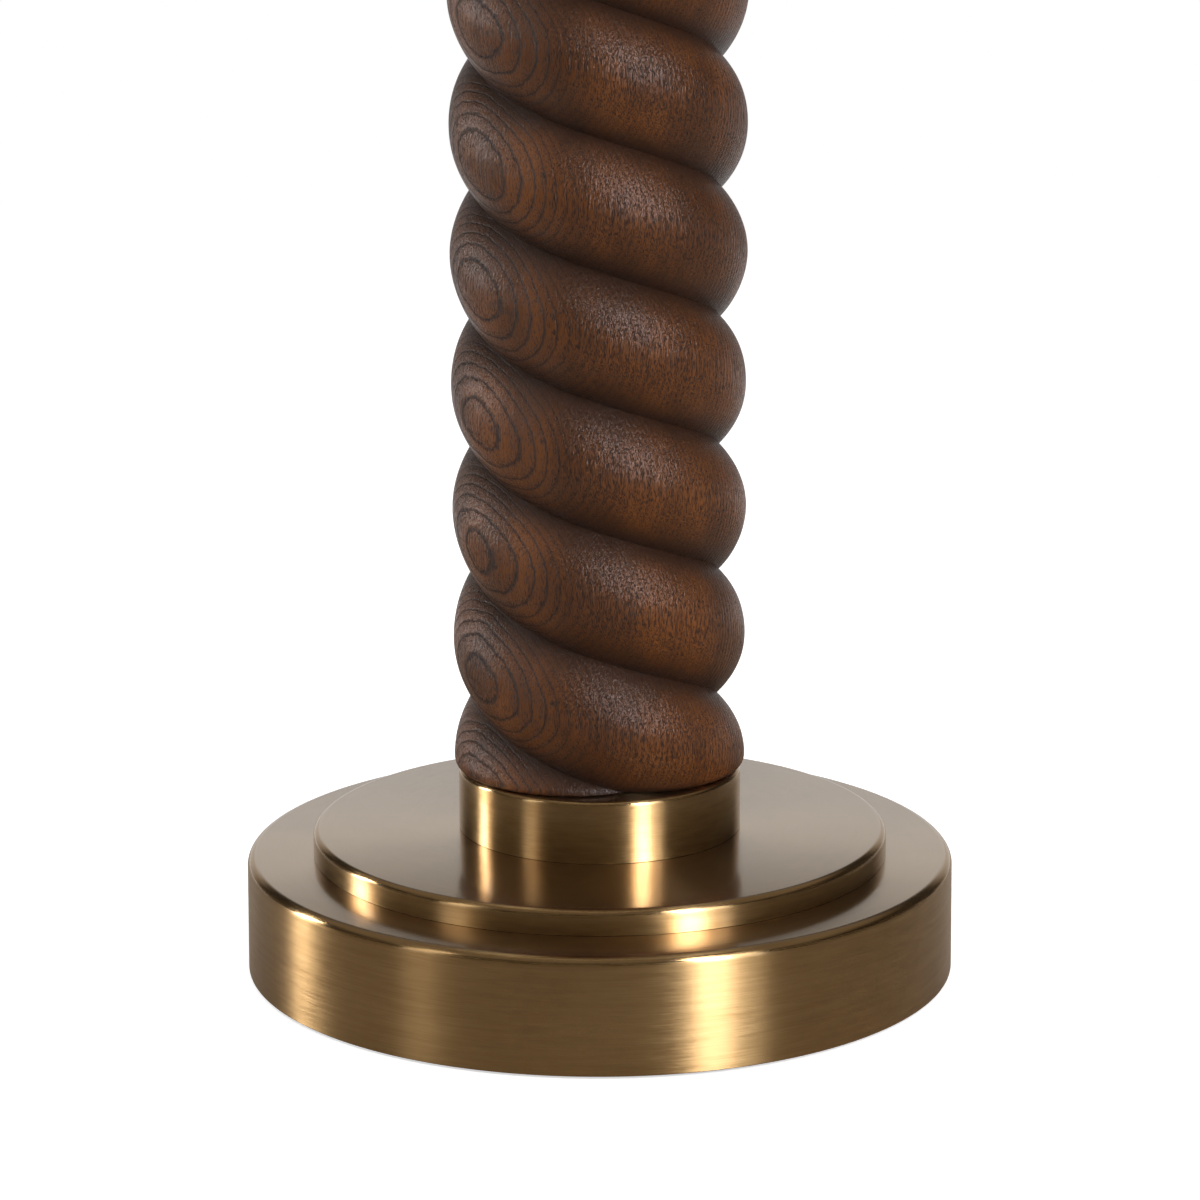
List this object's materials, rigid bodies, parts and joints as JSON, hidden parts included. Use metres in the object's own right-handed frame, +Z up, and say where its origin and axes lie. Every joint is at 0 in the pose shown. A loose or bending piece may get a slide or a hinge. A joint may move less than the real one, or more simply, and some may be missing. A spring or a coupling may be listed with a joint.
{
  "type": "table lamp",
  "caption": "Table lamp with a rope-twist turned wood column on a stepped round brass foot, a turn-knob lamp holder, a harp and a tapered drum shade.",
  "frame": {"origin": "centre of the foot's underside, on the surface that the lamp stands on", "axes": "+Z up the column; the front, with the switch knob, faces -Y; the cord inlet faces +Y; +X to the right seen from the front"},
  "size_m": [0.3816, 0.3816, 0.6956],
  "materials": {
    "antique_brass": "antique brass, finely brushed round the axis, lacquered",
    "stained_wood": "dark reddish brown stain under a satin lacquer",
    "plain_wood": "bare turned wood",
    "felt": "pressed dark felt",
    "cast_iron": "as cast, dark",
    "zinc_steel": "zinc plated",
    "grommet_rubber": "matt brown rubber",
    "phenolic": "moulded, dark",
    "fibre_paper": "plain insulating paper",
    "aluminium": "bright rolled",
    "linen": "off-white woven linen on a stiff backing",
    "white_sheet": "smooth white liner",
    "white_wire": "white painted wire",
    "frosted_glass": "inside frosted"
  },
  "bodies": {
    "lamp": {"felt_pad": "felt", "base_weight": "cast_iron", "base_pan": "antique_brass", "cord_grommet": "grommet_rubber", "base_step": "antique_brass", "base_collar": "antique_brass", "clamp_washer": "zinc_steel", "lock_washer": "zinc_steel", "foot_nut": "zinc_steel", "threaded_rod": "zinc_steel", "wood_column": "stained_wood", "lower_bush": "plain_wood", "upper_bush": "plain_wood", "column_cap": "antique_brass", "cap_step": "antique_brass", "neck": "antique_brass", "harp_saddle": "antique_brass", "saddle_nut": "antique_brass", "holder_cap": "antique_brass", "set_screw": "zinc_steel", "holder_shell": "antique_brass", "holder_liner": "fibre_paper", "holder_body": "phenolic", "terminal_screw_left": "zinc_steel", "terminal_screw_right": "antique_brass", "screw_shell": "aluminium", "centre_contact": "antique_brass"},
    "switch": {"switch_stem": "antique_brass", "switch_knob": "antique_brass"},
    "bulb": {"bulb_tip": "zinc_steel", "bulb_insulator": "phenolic", "bulb_barrel": "aluminium", "bulb_glass": "frosted_glass"},
    "harp": {"harp_wire": "antique_brass", "harp_boss": "antique_brass"},
    "left_sleeve": {"sleeve_left": "antique_brass"},
    "right_sleeve": {"sleeve_right": "antique_brass"},
    "swivel": {"swivel_stud": "antique_brass"},
    "shade": {"shade_cover": "linen", "shade_liner": "white_sheet", "shade_foot_trim": "linen", "shade_top_trim": "linen", "shade_foot_ring": "white_wire", "shade_spider": "white_wire"},
    "shade_finial": {"finial": "antique_brass"}
  },
  "joints": [
    {"name": "switch_turn", "type": "hinge", "parent": "lamp", "child": "switch", "pos_m": [0, -0.03, 0.47165], "axis": [0, -1, 0], "continuous": true},
    {"name": "bulb_turn", "type": "hinge", "parent": "lamp", "child": "bulb", "pos_m": [0, 0, 0.5], "axis": [0, 0, 1], "continuous": true},
    {"name": "harp_lift", "type": "slide", "parent": "lamp", "child": "harp", "axis": [0, 0, 1], "range_m": [0, 0.035]},
    {"name": "left_sleeve_lift", "type": "slide", "parent": "harp", "child": "left_sleeve", "axis": [0, 0, 1], "range_m": [0, 0.014]},
    {"name": "right_sleeve_lift", "type": "slide", "parent": "harp", "child": "right_sleeve", "axis": [0, 0, 1], "range_m": [0, 0.014]},
    {"name": "swivel_turn", "type": "hinge", "parent": "harp", "child": "swivel", "pos_m": [0, 0, 0.665], "axis": [0, 0, 1], "continuous": true},
    {"name": "shade_lift", "type": "slide", "parent": "swivel", "child": "shade", "axis": [0, 0, 1], "range_m": [0, 0.25]},
    {"name": "finial_turn", "type": "hinge", "parent": "shade", "child": "shade_finial", "pos_m": [0, 0, 0.68], "axis": [0, 0, 1], "continuous": true}
  ]
}
